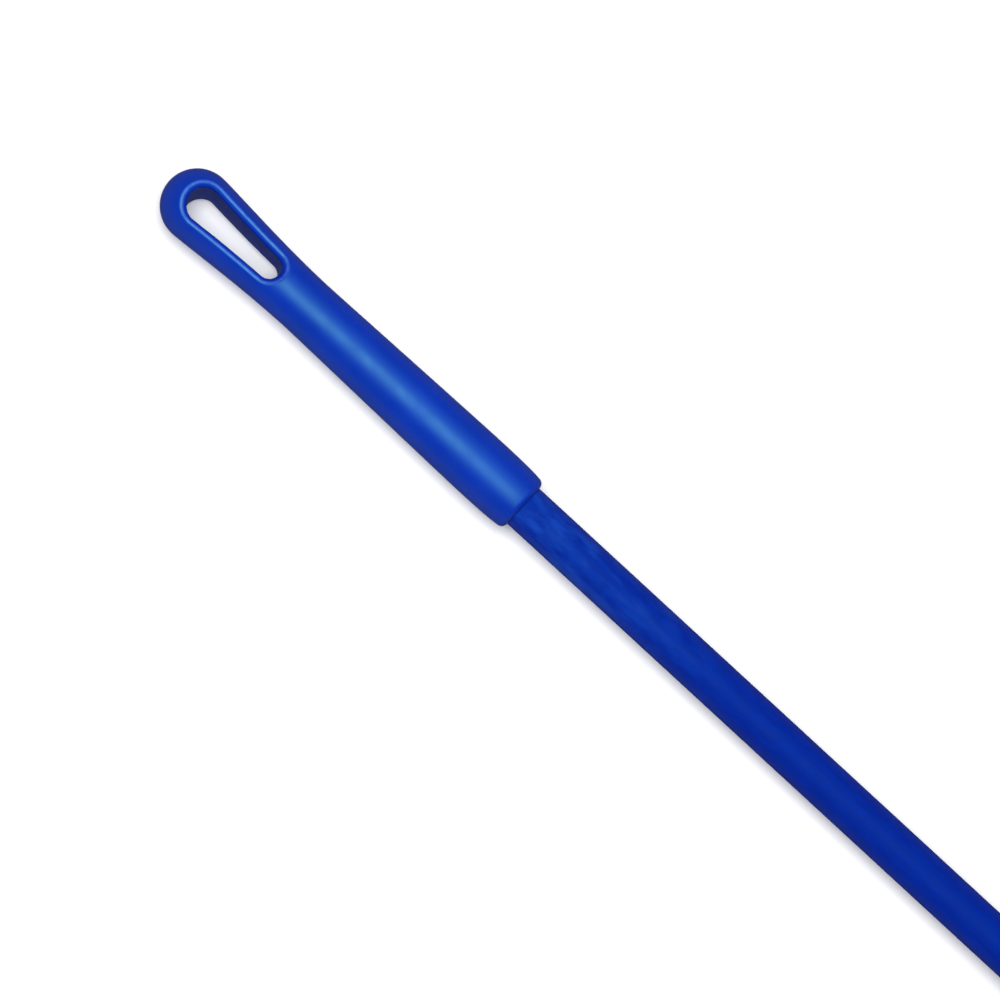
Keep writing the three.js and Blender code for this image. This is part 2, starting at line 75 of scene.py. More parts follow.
LENS = 200
SENSOR = 36
VIEW_WIDTH = 0.5325  # metres across the picture, at the pole
POLE_FALL = math.radians(42.65)  # how far the pole runs below the horizontal, to the right
LEAN = math.radians(11.5)  # of the camera from straight above, about the pole's axis
CENTRE_BEFORE_LIP = 0.0113
CENTRE_ASIDE = -0.0060

ALONG = Vector((1, 0, 0))
BACK = Vector((0, -math.sin(LEAN), math.cos(LEAN)))
ACROSS = BACK.cross(ALONG)


def make_camera():
    right = math.cos(POLE_FALL) * ALONG + math.sin(POLE_FALL) * ACROSS
    up = -math.sin(POLE_FALL) * ALONG + math.cos(POLE_FALL) * ACROSS
    target = Vector((GRIP_HIGH.x - CENTRE_BEFORE_LIP, AXIS.y, AXIS.z)) + CENTRE_ASIDE * ACROSS
    distance = VIEW_WIDTH / SENSOR * LENS
    data = bpy.data.cameras.new("camera")
    data.lens = LENS
    data.sensor_width = SENSOR
    camera = bpy.data.objects.new("camera", data)
    place = Matrix((right, up, BACK)).transposed().to_4x4()
    place.translation = target + BACK * distance
    camera.matrix_world = place
    bpy.context.scene.collection.objects.link(camera)
    bpy.context.scene.camera = camera


make_camera()


# ---- Ways of making a mesh ----


def to_frame(points):
    """Points in the pole's frame, in millimetres, as points in the row frame, in metres."""
    return np.asarray(points, float) * MM + np.array(AXIS)


def add_mesh(name, points, faces, body, nodes, material, normals=None):
    """Makes a piece that rides on a body and stands for CAD nodes. Points are in the pole's frame."""
    mesh = bpy.data.meshes.new(name)
    mesh.from_pydata(to_frame(points).tolist(), [], [list(map(int, face)) for face in faces])
    mesh.shade_smooth()
    if normals is not None:
        mesh.normals_split_custom_set_from_vertices(normals.tolist())
    mesh.update()
    piece = bpy.data.objects.new(name, mesh)
    bpy.context.scene.collection.objects.link(piece)
    piece.data.materials.append(material)
    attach(piece, body)
    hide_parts(*nodes)
    return piece


def rounded(outline, radius, steps=5):
    """A closed outline with each corner rounded, as far as its sides allow, and its outward normals.

    The outline goes round clockwise as [along, radius] points, and a corner's own rounding may stand
    third in its point."""
    points = [np.array(point[:2], float) for point in outline]
    radii = [point[2] if len(point) > 2 else radius for point in outline]
    smooth, normals = [], []
    for i, corner in enumerate(points):
        before, after = points[i - 1] - corner, points[(i + 1) % len(points)] - corner
        room = min(np.linalg.norm(before), np.linalg.norm(after)) * 0.48
        before, after = before / np.linalg.norm(before), after / np.linalg.norm(after)
        half = math.acos(np.clip(before @ after, -1, 1)) / 2
        reach = min(radii[i] / math.tan(half), room) if half < math.radians(89) else 0
        start, end = corner + before * reach, corner + after * reach
        for share in np.linspace(0, 1, steps + 1):
            way = (after * share - before * (1 - share)) if reach else after - before
            way = way / np.linalg.norm(way)
            if reach:
                middle = 2 * share * (1 - share)
                smooth.append(start * (1 - share) ** 2 + corner * middle + end * share**2)
            else:
                smooth.append(corner)
            normals.append(np.array([-way[1], way[0]]))
            if not reach:
                break
    return np.array(smooth), np.array(normals)


def circle(along, radius, angles):
    """Points round the pole's axis. The height along it or the radius may differ from point to point."""
    along = np.broadcast_to(along, len(angles))
    return np.stack([along, radius * np.cos(angles), radius * np.sin(angles)], 1)


def revolve(outline, normals, sides=144):
    """A closed outline of [along, radius] points turned about the pole: points, faces and normals."""
    angles = np.arange(sides) * 2 * math.pi / sides
    turned = []
    for ring in (outline, normals):
        turned.append(loft([circle(along, radius, angles) for along, radius in ring]))
    (points, faces), (normals, _) = turned
    return points, faces, normals


def loft(rows):
    """Points and faces of a closed loop of closed rows that all have as many points."""
    count, sides = len(rows), len(rows[0])
    points = np.concatenate(rows)
    i, j = np.meshgrid(np.arange(count), np.arange(sides), indexing="ij")
    i, j = i.ravel(), j.ravel()
    i2, j2 = (i + 1) % count, (j + 1) % sides
    faces = np.stack([i * sides + j, i * sides + j2, i2 * sides + j2, i2 * sides + j], 1)
    return points, faces


def dome(radii, heights, sides=72):
    """A round button about the pole's axis: rings of points from its centre out, then down its side.

    The heights may differ round each ring."""
    angles = np.arange(sides) * 2 * math.pi / sides
    rows = [circle(height, radius, angles) for radius, height in zip(radii, heights)]
    centres = [[[np.mean(row[:, 0]), 0, 0]] for row in (rows[0], rows[-1])]
    points = np.concatenate([centres[0], *rows, centres[1]])
    i, j = np.meshgrid(np.arange(len(rows) - 1), np.arange(sides), indexing="ij")
    i, j = i.ravel(), j.ravel()
    j2 = (j + 1) % sides
    between_rows = np.stack([i * sides + j, (i + 1) * sides + j, (i + 1) * sides + j2, i * sides + j2], 1)
    faces = (1 + between_rows).tolist()
    last, ring = len(points) - 1, np.arange(sides)
    around = (ring + 1) % sides
    start = 1 + (len(rows) - 1) * sides
    faces += [(0, 1 + k, 1 + k2) for k, k2 in zip(ring, around)]
    faces += [(last, start + k2, start + k) for k, k2 in zip(ring, around)]
    return points, faces


def set_aside(points, at, side=1):
    """Points about the pole's axis turned to stand out at one side of it: +1 or -1."""
    x, y, z = np.asarray(points).T
    return np.stack([at - side * y, side * x, z], 1)


# ---- Implicit shapes: a field is negative inside and grows by about 1 for each millimetre outwards ----


def round_join(a, b, radius):
    """The union of two fields with a fillet where they meet."""
    u = np.maximum(radius - a, 0)
    v = np.maximum(radius - b, 0)
    return np.maximum(radius, np.minimum(a, b)) - np.hypot(u, v)


def round_cut(a, b, radius):
    """The intersection of two fields with a rounded edge."""
    u = np.maximum(radius + a, 0)
    v = np.maximum(radius + b, 0)
    return np.minimum(-radius, np.maximum(a, b)) + np.hypot(u, v)


def capsule(x, y, start, end, radius, end_radius=None):
    """The distance to a flat capsule, which may taper to another radius."""
    end_radius = radius if end_radius is None else end_radius
    along = np.array(end, float) - start
    length = np.hypot(*along)
    along = along / length
    p = (x - start[0]) * along[0] + (y - start[1]) * along[1]
    q = np.abs(-(x - start[0]) * along[1] + (y - start[1]) * along[0])
    slope = (radius - end_radius) / length
    flat = math.sqrt(1 - slope * slope)
    k = p * flat - q * slope
    near = np.hypot(p, q) - radius
    far = np.hypot(p - length, q) - end_radius
    return np.where(k < 0, near, np.where(k > flat * length, far, q * flat + p * slope - radius))


def gradient(field, points, step=0.02):
    """The field's slope at each point."""
    slopes = [field(points + shift) - field(points - shift) for shift in step * np.eye(3)]
    return np.stack(slopes, 1) / (2 * step)


def edge_crossings(value, grid, axis):
    """Where the field changes sign along an axis: which edges, which start inside, and the places."""
    low = tuple(slice(0, -1) if k == axis else slice(None) for k in range(3))
    high = tuple(slice(1, None) if k == axis else slice(None) for k in range(3))
    a, b = value[low], value[high]
    crossed = (a < 0) != (b < 0)
    share = np.where(crossed, a / np.where(crossed, a - b, 1), 0)
    place = (grid[low] + (grid[high] - grid[low]) * share[..., None]) * crossed[..., None]
    return crossed, a < 0, place


def cell_points(crossings, size):
    """A point in each grid cell that the surface passes through, and each cell's number."""
    total, count = np.zeros((*size, 3)), np.zeros(size)
    for axis, (crossed, _, place) in enumerate(crossings):
        second, third = (axis + 1) % 3, (axis + 2) % 3
        for i, j in ((0, 0), (0, 1), (1, 0), (1, 1)):
            cells = [slice(None)] * 3
            cells[second] = slice(i, i + size[second])
            cells[third] = slice(j, j + size[third])
            total += place[tuple(cells)]
            count += crossed[tuple(cells)]
    used = count > 0
    number = np.full(size, -1)
    number[used] = np.arange(used.sum())
    return total[used] / count[used][:, None], number


def cell_faces(crossings, number):
    """A four-sided face, facing outwards, round each edge that the surface crosses."""
    faces = []
    for axis, (crossed, starts_inside, _) in enumerate(crossings):
        second, third = (axis + 1) % 3, (axis + 2) % 3
        inner = [slice(None)] * 3
        inner[second], inner[third] = slice(1, -1), slice(1, -1)
        where = np.argwhere(crossed[tuple(inner)])
        where[:, second] += 1
        where[:, third] += 1
        corners = []
        for i, j in ((-1, -1), (0, -1), (0, 0), (-1, 0)):
            cell = where.copy()
            cell[:, second] += i
            cell[:, third] += j
            corners.append(number[tuple(cell.T)])
        quads = np.stack(corners, 1)
        outwards = starts_inside[tuple(where.T)]
        faces.append(np.where(outwards[:, None], quads, quads[:, ::-1]))
    return np.concatenate(faces)


def pull_to_surface(field, points, rounds=4, longest=0.5):
    """Points moved to where the field is zero, by no more than the longest move in each round."""
    for _ in range(rounds):
        slope = gradient(field, points)
        steepness = np.maximum((slope**2).sum(1), 0.05)
        move = slope * (field(points) / steepness)[:, None]
        length = np.linalg.norm(move, axis=1, keepdims=True)
        points = points - move * np.minimum(1, longest / np.maximum(length, 1e-9))
    return points


def surface(field, xs, ys, zs):
    """The surface where the field is zero: its points, its four-sided faces and its normals."""
    grid = np.stack(np.meshgrid(xs, ys, zs, indexing="ij"), -1)
    value = field(grid.reshape(-1, 3)).reshape(grid.shape[:3])
    crossings = [edge_crossings(value, grid, axis) for axis in range(3)]
    points, number = cell_points(crossings, np.array(value.shape) - 1)
    points = pull_to_surface(field, points)
    normals = gradient(field, points)
    normals /= np.maximum(np.linalg.norm(normals, axis=1, keepdims=True), 1e-9)
    return points, cell_faces(crossings, number), normals


def stretches(*parts):
    """Grid lines: each part is where it ends and about how far apart its lines are, after the start."""
    lines = [parts[0]]
    for end, step in parts[1:]:
        steps = max(1, round((end - lines[-1]) / step))
        lines += list(np.linspace(lines[-1], end, steps + 1)[1:])
    return np.array(lines)


# ---- Materials ----

GRIP_BLUE = (0.0002, 0.017, 0.29)
SHEEN_BLUE = (0.25, 0.9, 0.75, 1)  # tints the reflections of the grip and the pole
RIM_HIGHLIGHT_BLUE = (0.05, 0.11, 0.46)  # painted highlight along the rim of the eye
POLE_BLUE = (0.0001, 0.0105, 0.21)
POLE_SHEEN_BLUE = (0.004, 0.036, 0.3)  # painted sheen on the pole beside the grip
SHEEN_LENGTH = 0.16  # metres along the pole over which the painted sheen fades


def shade(colour, factor):
    """A colour made darker or lighter."""
    return tuple(min(1, part * factor) for part in colour)


class Material:
    """A Principled material with a few ways of adding nodes to it."""

    def __init__(self, name, colour, roughness, sockets=None):
        self.material = bpy.data.materials.new(name)
        self.material.use_nodes = True
        self.tree = self.material.node_tree
        self.shader = self.tree.nodes["Principled BSDF"]
        self.set("Base Color", (*colour, 1))
        self.set("Roughness", roughness)
        for socket, value in (sockets or {}).items():
            self.set(socket, value)
        self.coordinates = self.tree.nodes.new("ShaderNodeTexCoord").outputs["Object"]

    def set(self, socket, value):
        self.shader.inputs[socket].default_value = value

    def node(self, kind, links=(), **settings):
        made = self.tree.nodes.new(kind)
        for key, value in settings.items():
            if key in made.inputs:
                made.inputs[key].default_value = value
            else:
                setattr(made, key, value)
        for socket, source in dict(links).items():
            self.tree.links.new(source, made.inputs[socket])
        return made

    def stretched(self, scale, turn=(0, 0, 0)):
        """The piece's own coordinates, scaled and turned."""
        made = self.node("ShaderNodeMapping", {"Vector": self.coordinates}, Scale=scale, Rotation=turn)
        return made.outputs["Vector"]

    def noise(self, scale, detail=3.0, vector=None, roughness=0.5, distortion=0.0):
        made = self.node(
            "ShaderNodeTexNoise",
            {"Vector": vector or self.coordinates},
            Scale=scale,
            Detail=detail,
            Roughness=roughness,
            Distortion=distortion,
        )
        return made.outputs["Fac"]

    def ramp(self, factor, stops):
        """Colours between stops of (place, colour)."""
        made = self.node("ShaderNodeValToRGB", {"Fac": factor})
        elements = made.color_ramp.elements
        while len(elements) < len(stops):
            elements.new(0.5)
        for element, (place, colour) in zip(elements, stops):
            element.position = place
            element.color = (*colour, 1)
        return made.outputs["Color"]

    def between(self, factor, low, high, start=0.0, end=1.0):
        """A number that goes from low to high as the factor goes from start to end."""
        made = self.node("ShaderNodeMapRange", {"Value": factor})
        for socket, value in zip(("From Min", "From Max", "To Min", "To Max"), (start, end, low, high)):
            made.inputs[socket].default_value = value
        return made.outputs["Result"]

    def math(self, operation, a, b):
        made = self.node("ShaderNodeMath", operation=operation)
        for socket, value in zip(made.inputs, (a, b)):
            if isinstance(value, (int, float)):
                socket.default_value = value
            else:
                self.tree.links.new(value, socket)
        return made.outputs[0]

    def mix(self, share, colour, other):
        """A colour mixed with another, given as numbers, by a share of it."""
        made = self.node("ShaderNodeMix", {"Factor": share}, data_type="RGBA")
        colours = [socket for socket in made.inputs if socket.type == "RGBA"]
        self.tree.links.new(colour, colours[0])
        colours[1].default_value = (*other, 1)
        return next(socket for socket in made.outputs if socket.type == "RGBA")

    def drive(self, socket, source):
        self.tree.links.new(source, self.shader.inputs[socket])

    def bump(self, *layers):
        """Bumps from (height, depth in metres) layers, one on the other."""
        normal = None
        for height, depth in layers:
            links = {"Height": height}
            if normal:
                links["Normal"] = normal
            normal = self.node("ShaderNodeBump", links, Distance=depth, Strength=1.0).outputs["Normal"]
        self.drive("Normal", normal)


def grip_plastic():
    """Satin moulded plastic, a saturated deep blue, with a painted highlight and a smoother polish along the
    eye's rim.
    """
    gloss = {"Specular IOR Level": 0.4, "Specular Tint": SHEEN_BLUE}
    m = Material("grip_plastic", GRIP_BLUE, 0.4, gloss)
    blue = m.ramp(m.noise(28, 4), [(0.3, shade(GRIP_BLUE, 0.93)), (0.7, shade(GRIP_BLUE, 1.07))])
    # The paler colour along the eye's rim is a painted highlight; the lower roughness there is polish.
    highlight_and_polish = m.node("ShaderNodeAttribute", attribute_name="rim_highlight_and_polish").outputs["Fac"]
    painted_rim_highlight = m.math("MULTIPLY", highlight_and_polish, m.between(m.noise(450, 3), 0.35, 0.85, 0.3, 0.65))
    m.drive("Base Color", m.mix(painted_rim_highlight, blue, RIM_HIGHLIGHT_BLUE))
    polish = m.math("MULTIPLY", highlight_and_polish, -0.1)
    m.drive("Roughness", m.math("ADD", m.between(m.noise(90, 3), 0.39, 0.47, 0.3, 0.7), polish))
    grain = m.noise(2600, 2)
    ripple = m.noise(160, 2)
    m.bump((ripple, 0.00002), (grain, 0.000012))
    return m.material


def fibreglass():
    """Pigmented pultruded fibreglass: long fibres under the surface, a mottled tone, and paler
    blotches beside the grip, a painted sheen that fades along the pole."""
    gloss = {"Specular IOR Level": 0.1, "Specular Tint": SHEEN_BLUE}
    m = Material("fibreglass", POLE_BLUE, 0.64, gloss)
    fibres = m.noise(900, 4, m.stretched((0.06, 1, 1)), distortion=0.4)
    swirl = m.noise(300, 3, m.stretched((0.3, 1, 1)), distortion=0.3)
    tone = m.math("ADD", m.math("MULTIPLY", fibres, 0.35), m.math("MULTIPLY", swirl, 0.65))
    dark = shade(POLE_BLUE, 0.9)
    light = (POLE_BLUE[0] * 4, POLE_BLUE[1] * 1.3, POLE_BLUE[2] * 1.12)
    colour = m.ramp(tone, [(0.34, dark), (0.5, POLE_BLUE), (0.68, light)])
    # Paler blotches beside the grip are a painted sheen, fading away from the grip along the pole.
    along = m.node("ShaderNodeSeparateXYZ", {"Vector": m.coordinates}).outputs["X"]
    near_grip = m.between(along, 1, 0, GRIP_HIGH.x, GRIP_HIGH.x + SHEEN_LENGTH)
    blotches = m.noise(170, 3, m.stretched((0.35, 1, 1)), distortion=0.2)
    painted_sheen = m.math("MULTIPLY", near_grip, m.between(blotches, 0.1, 1, 0.42, 0.68))
    m.drive("Base Color", m.mix(painted_sheen, colour, POLE_SHEEN_BLUE))
    m.drive("Roughness", m.between(swirl, 0.56, 0.68, 0.3, 0.7))
    m.bump((swirl, 0.00004), (fibres, 0.00002))
    return m.material


def moulded_nylon(name, colour, roughness, grain_depth):
    """Nylon from a spark-eroded mould: an even fine grain."""
    m = Material(name, colour, roughness, {"IOR": 1.5})
    cloud = m.noise(60, 3)
    m.drive("Base Color", m.ramp(cloud, [(0.3, shade(colour, 0.97)), (0.7, shade(colour, 1.02))]))
    m.drive("Roughness", m.between(m.noise(300, 3), roughness - 0.04, roughness + 0.05, 0.3, 0.7))
    m.bump((m.noise(3000, 2), grain_depth))
    return m.material


def drawn_aluminium():
    """Clear anodised tube with fine draw lines along it."""
    m = Material("drawn_aluminium", (0.72, 0.74, 0.76), 0.3, {"Metallic": 1.0})
    lines = m.noise(2400, 3, m.stretched((0.012, 1, 1)))
    m.drive("Base Color", m.ramp(lines, [(0.3, (0.62, 0.64, 0.66)), (0.7, (0.8, 0.82, 0.84))]))
    m.drive("Roughness", m.between(lines, 0.26, 0.36, 0.3, 0.7))
    m.bump((lines, 0.000003))
    return m.material


def stainless_steel():
    """Tumbled stainless steel with an uneven polish."""
    m = Material("stainless_steel", (0.66, 0.66, 0.65), 0.24, {"Metallic": 1.0})
    m.drive("Roughness", m.between(m.noise(700, 3), 0.18, 0.34, 0.3, 0.7))
    m.bump((m.noise(1500, 2), 0.000008))
    return m.material


def soft_rubber():
    """Matt black rubber with a faint bloom."""
    m = Material("soft_rubber", (0.02, 0.02, 0.022), 0.72, {"IOR": 1.5})
    bloom = m.noise(220, 4)
    m.drive("Base Color", m.ramp(bloom, [(0.35, (0.016, 0.016, 0.018)), (0.7, (0.03, 0.03, 0.033))]))
    m.drive("Roughness", m.between(m.noise(500, 3), 0.64, 0.82, 0.3, 0.7))
    m.bump((m.noise(1800, 3), 0.00003))
    return m.material


def closed_cell_foam():
    """Dark foam with fine closed cells."""
    m = Material("closed_cell_foam", (0.03, 0.032, 0.036), 0.9)
    cells = m.node("ShaderNodeTexVoronoi", {"Vector": m.coordinates}, Scale=1200.0).outputs["Distance"]
    m.drive("Base Color", m.ramp(cells, [(0.1, (0.02, 0.021, 0.024)), (0.6, (0.05, 0.053, 0.06))]))
    m.bump((cells, 0.0001))
    return m.material


LOOKS = {
    "grip_blue": grip_plastic(),
    "pole_blue": fibreglass(),
    "lock_black": moulded_nylon("black_nylon", (0.012, 0.013, 0.015), 0.46, 0.00003),
    "head_white": moulded_nylon("white_nylon", (0.62, 0.625, 0.61), 0.4, 0.000015),
    "tube_aluminium": drawn_aluminium(),
    "stainless": stainless_steel(),
    "nylon_natural": moulded_nylon("natural_nylon", (0.66, 0.62, 0.52), 0.45, 0.00001),
    "foam_dark": closed_cell_foam(),
    "rubber_black": soft_rubber(),
}


# ---- Grip ----

EYE_WIDE, EYE_WIDE_RADIUS = 23.8, 9.45
EYE_NARROW, EYE_NARROW_RADIUS = 70.9, 6.45
EYE_DRAFT = 0.015  # how much wider the eye gets for each unit of height
EYE_WAIST = 0.3  # how far the eye's sides come in between its round ends
RIM_WIDTH, RIM_FALL = 2.9, 1.13  # the bevel round the eye, and how steeply it leaves the grip's skin
RIM_CREST, RIM_EDGE = 1.6, 0.7  # the radii at the bevel's top and where it meets the eye's wall
RIM_HIGHLIGHT_AND_POLISH = 0.65  # half the width of the line along the bevel's top that is painted paler, as a highlight, and polished smoother
NECK_AT, NECK_RADIUS = 101, 15.87
BELLY_AT, BELLY_RADIUS = 226, 17.5
LIP_RADIUS, LIP_CORNER = 16.6, 3.2
GRIP_BORE = OUTER_RADIUS + 0.03
GRIP_SOCKET_AT = OUTER_START - 0.8


def bend(start, handle, handle2, end, steps=400):
    """Points on a cubic curve."""
    t = np.linspace(0, 1, steps)[:, None]
    start, handle, handle2, end = (np.array(p, float) for p in (start, handle, handle2, end))
    return start * (1 - t) ** 3 + 3 * handle * (1 - t) ** 2 * t + 3 * handle2 * (1 - t) * t**2 + end * t**3


def grip_curve():
    """The grip's radius along its length, after the rounded end."""
    bulb, neck, belly = (GRIP_END_RADIUS, GRIP_END_RADIUS), (NECK_AT, NECK_RADIUS), (BELLY_AT, BELLY_RADIUS)
    lip = (GRIP_LENGTH - LIP_CORNER, LIP_RADIUS)
    return np.concatenate([
        bend(bulb, (bulb[0] + 9, bulb[1]), (neck[0] - 35.5, neck[1]), neck),
        bend(neck, (neck[0] + 4, neck[1]), (belly[0] - 20, belly[1]), belly)[1:],
        bend(belly, (belly[0] + 10, belly[1]), (lip[0] - 6, LIP_RADIUS + 0.8), lip)[1:],
        [(GRIP_LENGTH + 4, LIP_RADIUS - 0.9)],
    ])


GRIP_CURVE = grip_curve()
GRIP_SLOPE = np.gradient(GRIP_CURVE[:, 1], GRIP_CURVE[:, 0])


def eye_field(x, y, z):
    """The distance outside the eye's wall."""
    share = np.clip((x - EYE_WIDE) / (EYE_NARROW - EYE_WIDE), 0, 1)
    outline = capsule(x, y, (EYE_WIDE, 0), (EYE_NARROW, 0), EYE_WIDE_RADIUS, EYE_NARROW_RADIUS)
    return outline + EYE_WAIST * np.sin(share * math.pi) - EYE_DRAFT * z


def grip_field(p):
    """The grip with its eye, the bevel round the eye on both faces, and the pole's socket."""
    x, y, z = p.T
    r = np.hypot(y, z)
    slope = np.interp(x, GRIP_CURVE[:, 0], GRIP_SLOPE)
    barrel = (r - np.interp(x, GRIP_CURVE[:, 0], GRIP_CURVE[:, 1])) / np.sqrt(1 + slope**2)
    ball = np.hypot(x - GRIP_END_RADIUS, r) - GRIP_END_RADIUS
    skin = np.where(x < GRIP_END_RADIUS, ball, barrel)
    skin = round_cut(skin, x - GRIP_LENGTH, LIP_CORNER)
    eye = eye_field(x, y, z)
    bore = np.maximum(r - GRIP_BORE, GRIP_SOCKET_AT - x)
    bevelled = round_cut(skin, skin + RIM_FALL * (RIM_WIDTH - eye), RIM_CREST)
    return round_cut(round_cut(bevelled, -eye, RIM_EDGE), -bore, 0.2)


def make_grip():
    margin = 1.4
    reach = GRIP_END_RADIUS + margin
    barrel = [(84, 0.8), (GRIP_SOCKET_AT + 3, 1.2), (244, 2.4)]
    along = stretches(-margin, *barrel, (GRIP_LENGTH + margin, 0.4))
    across = stretches(-reach, (reach, 0.8))
    points, faces, normals = surface(grip_field, along, across, across)
    look = LOOKS["grip_blue"]
    grip = add_mesh("grip", points, faces, "outer_section", ["hand_grip"], look, normals)
    # A line along the bevel's top, which the material paints paler as a highlight and makes smoother.
    from_crest = eye_field(*points.T) - RIM_WIDTH + 0.2
    highlight_and_polish = np.exp(-((from_crest / RIM_HIGHLIGHT_AND_POLISH) ** 2))
    grip.data.attributes.new("rim_highlight_and_polish", "FLOAT", "POINT").data.foreach_set("value", highlight_and_polish)


# ---- Turned pieces ----


def turned_piece(name, outline, rounding, body, node, slot, steps=5):
    """A round piece made by turning an outline about the pole."""
    points, faces, normals = revolve(*rounded(outline, rounding, steps))
    add_mesh(name, points, faces, body, [node], LOOKS[slot], normals)


def sleeve(start, end, bore, radius):
    """The outline of a plain tube."""
    return [(start, bore), (start, radius), (end, radius), (end, bore)]


def make_tubes():
    outer_bore, inner_bore = OUTER_RADIUS - 1.7, INNER_RADIUS - 1.25
    outer = sleeve(OUTER_START, OUTER_END, outer_bore, OUTER_RADIUS)
    turned_piece("pole_tube", outer, 0.4, "outer_section", "outer_tube", "pole_blue")
    inner = sleeve(INNER_START, INNER_END, inner_bore, INNER_RADIUS)
    turned_piece("inner_pole", inner, 0.3, "inner_section", "inner_tube", "tube_aluminium")


# ---- Twist lock ----

FERRULE_LOW, FERRULE_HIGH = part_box("lock_ferrule")
FERRULE_RADIUS = (FERRULE_HIGH.z - FERRULE_LOW.z) / MM / 2
FERRULE_START, FERRULE_END = span("lock_ferrule")
O_RING_AT = sum(span("ferrule_o_ring")) / 2
O_RING_SECTION = 0.7
RIVETS_AT = sum(span("ferrule_rivet_left")) / 2
NUT_LOW, NUT_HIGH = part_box("lock_nut")
NUT_START, NUT_END = span("lock_nut")
NUT_FLAT = (NUT_HIGH.z - NUT_LOW.z) / MM / 2
NUT_CORNER = (NUT_HIGH.y - NUT_LOW.y) / MM / 2
NUT_BORE = 15.6
SEAL_POCKET = 13.0
GROOVE_RADIUS = 1.3
GROOVE_TURNS = [math.radians(turn) for turn in (-9, 0, 9)]  # of the grooves from a corner's middle
NUT_SIDES = 504  # enough to keep the grooves round


def make_ferrule():
    groove = FERRULE_RADIUS - 1.3
    bore = OUTER_RADIUS + 0.1
    outline = [
        (FERRULE_START, bore, 0.2), (FERRULE_START, bore + 1, 0.5), (FERRULE_START + 8, FERRULE_RADIUS, 6),
        (O_RING_AT - 1, FERRULE_RADIUS, 0.3), (O_RING_AT - 1, groove, 0.2),
        (O_RING_AT + 1, groove, 0.2), (O_RING_AT + 1, FERRULE_RADIUS, 0.3),
        (FERRULE_END, FERRULE_RADIUS, 0.5), (FERRULE_END, INNER_RADIUS + 0.5, 0.3),
        (OUTER_END + 2.6, INNER_RADIUS + 0.5, 0.2), (OUTER_END + 2.6, bore, 0.2),
    ]
    turned_piece("ferrule", outline, 0.3, "outer_section", "lock_ferrule", "lock_black")


def make_o_ring():
    middle = FERRULE_RADIUS - 0.42
    angles = np.linspace(math.pi, -math.pi, 28)[:-1]
    outwards = np.stack([np.cos(angles), np.sin(angles)], 1)
    ring = np.array([O_RING_AT, middle]) + O_RING_SECTION * outwards
    points, faces, normals = revolve(ring, outwards)
    look = LOOKS["rubber_black"]
    add_mesh("o_ring", points, faces, "outer_section", ["ferrule_o_ring"], look, normals)


def make_rivets():
    """Domed heads with a rolled edge and the mandrel's dimple."""
    seat = FERRULE_RADIUS + 0.02
    crown_radii = np.linspace(0.06, 2.85, 26)
    crown = 1.38 * np.sqrt(1 - (crown_radii / 3.25) ** 2)
    dimple = 0.22 * np.exp(-((crown_radii / 0.8) ** 4))
    edge_radii = [2.95, 3.0, 3.0, 2.95, 1.6, 1.6]
    edge_heights = [0.5, 0.3, 0.1, 0, 0, -4]
    heights = seat + np.concatenate([crown - dimple, edge_heights])
    points, faces = dome(np.concatenate([crown_radii, edge_radii]), heights)
    for name, side in (("left", 1), ("right", -1)):
        add_mesh(
            f"rivet_{name}", set_aside(points, RIVETS_AT, side), faces, "outer_section",
            [f"ferrule_rivet_{name}"], LOOKS["stainless"],
        )


def soft_minimum(a, b, sharpness=60):
    """The smaller of two radii, with a rounded change from one to the other."""
    return (a**-sharpness + b**-sharpness) ** (-1 / sharpness)


def nut_outside(angles):
    """The nut's radius round its grips: a hexagon with round corners and three grooves on each.

    Angles start at a corner, which points aside, so that the nut rests on a flat."""
    to_flat = angles % (math.pi / 3) - math.pi / 6
    radius = soft_minimum(NUT_FLAT / np.cos(to_flat), NUT_CORNER)
    corner = (angles + math.pi / 6) % (math.pi / 3) - math.pi / 6
    middle = NUT_CORNER + 0.2
    for turn in GROOVE_TURNS:
        off = middle * np.sin(corner - turn)
        groove = middle - np.sqrt(np.clip(GROOVE_RADIUS**2 - off**2, 0, None))
        depth = np.clip(radius - groove, 0, None) * (np.abs(off) < GROOVE_RADIUS)
        radius = radius - depth * (1 - np.exp(-3 * depth))
    return radius


def nut_outline():
    """The nut's section: its chamfered rear, its grips, its two-step nose, the seal's pocket and its bore."""
    shaft = INNER_RADIUS + 0.7
    return [
        (NUT_START, NUT_BORE, 0.4),
        (NUT_START, 18.4, 0.8),
        (NUT_START + 4, NUT_CORNER, 2.5),
        (NUT_END - 11, NUT_CORNER, 5),
        (NUT_END - 4, 18.6, 3),
        (NUT_END, 15.4, 0.8),
        (NUT_END, SEAL_POCKET, 0.3),
        (NUT_END - 5.2, SEAL_POCKET, 0.1),
        (NUT_END - 5.2, shaft, 0.1),
        (NUT_END - 8.2, shaft, 0.1),
        (NUT_END - 8.2, NUT_BORE, 0.1),
    ]


def divided(ring, slanted_step=0.4, level_step=3):
    """A closed outline with points added along its sides, closer where the radius changes."""
    fine = []
    for start, end in zip(ring, np.roll(ring, -1, axis=0)):
        step = slanted_step if abs(end[1] - start[1]) > 0.05 else level_step
        count = max(1, math.ceil(np.linalg.norm(end - start) / step))
        fine += [start + (end - start) * k / count for k in range(count)]
    return fine


def make_lock_nut():
    ring, _ = rounded(nut_outline(), 0.3, 8)
    angles = np.arange(NUT_SIDES) * 2 * math.pi / NUT_SIDES
    grips = nut_outside(angles)
    rows = []
    for along, r in divided(ring):
        radius = soft_minimum(r, grips) if r > NUT_BORE + 1 else r
        rows.append(circle(along, radius, angles))
    points, faces = loft(rows)
    add_mesh("twist_nut", points, faces, "collar", ["lock_nut"], LOOKS["lock_black"])


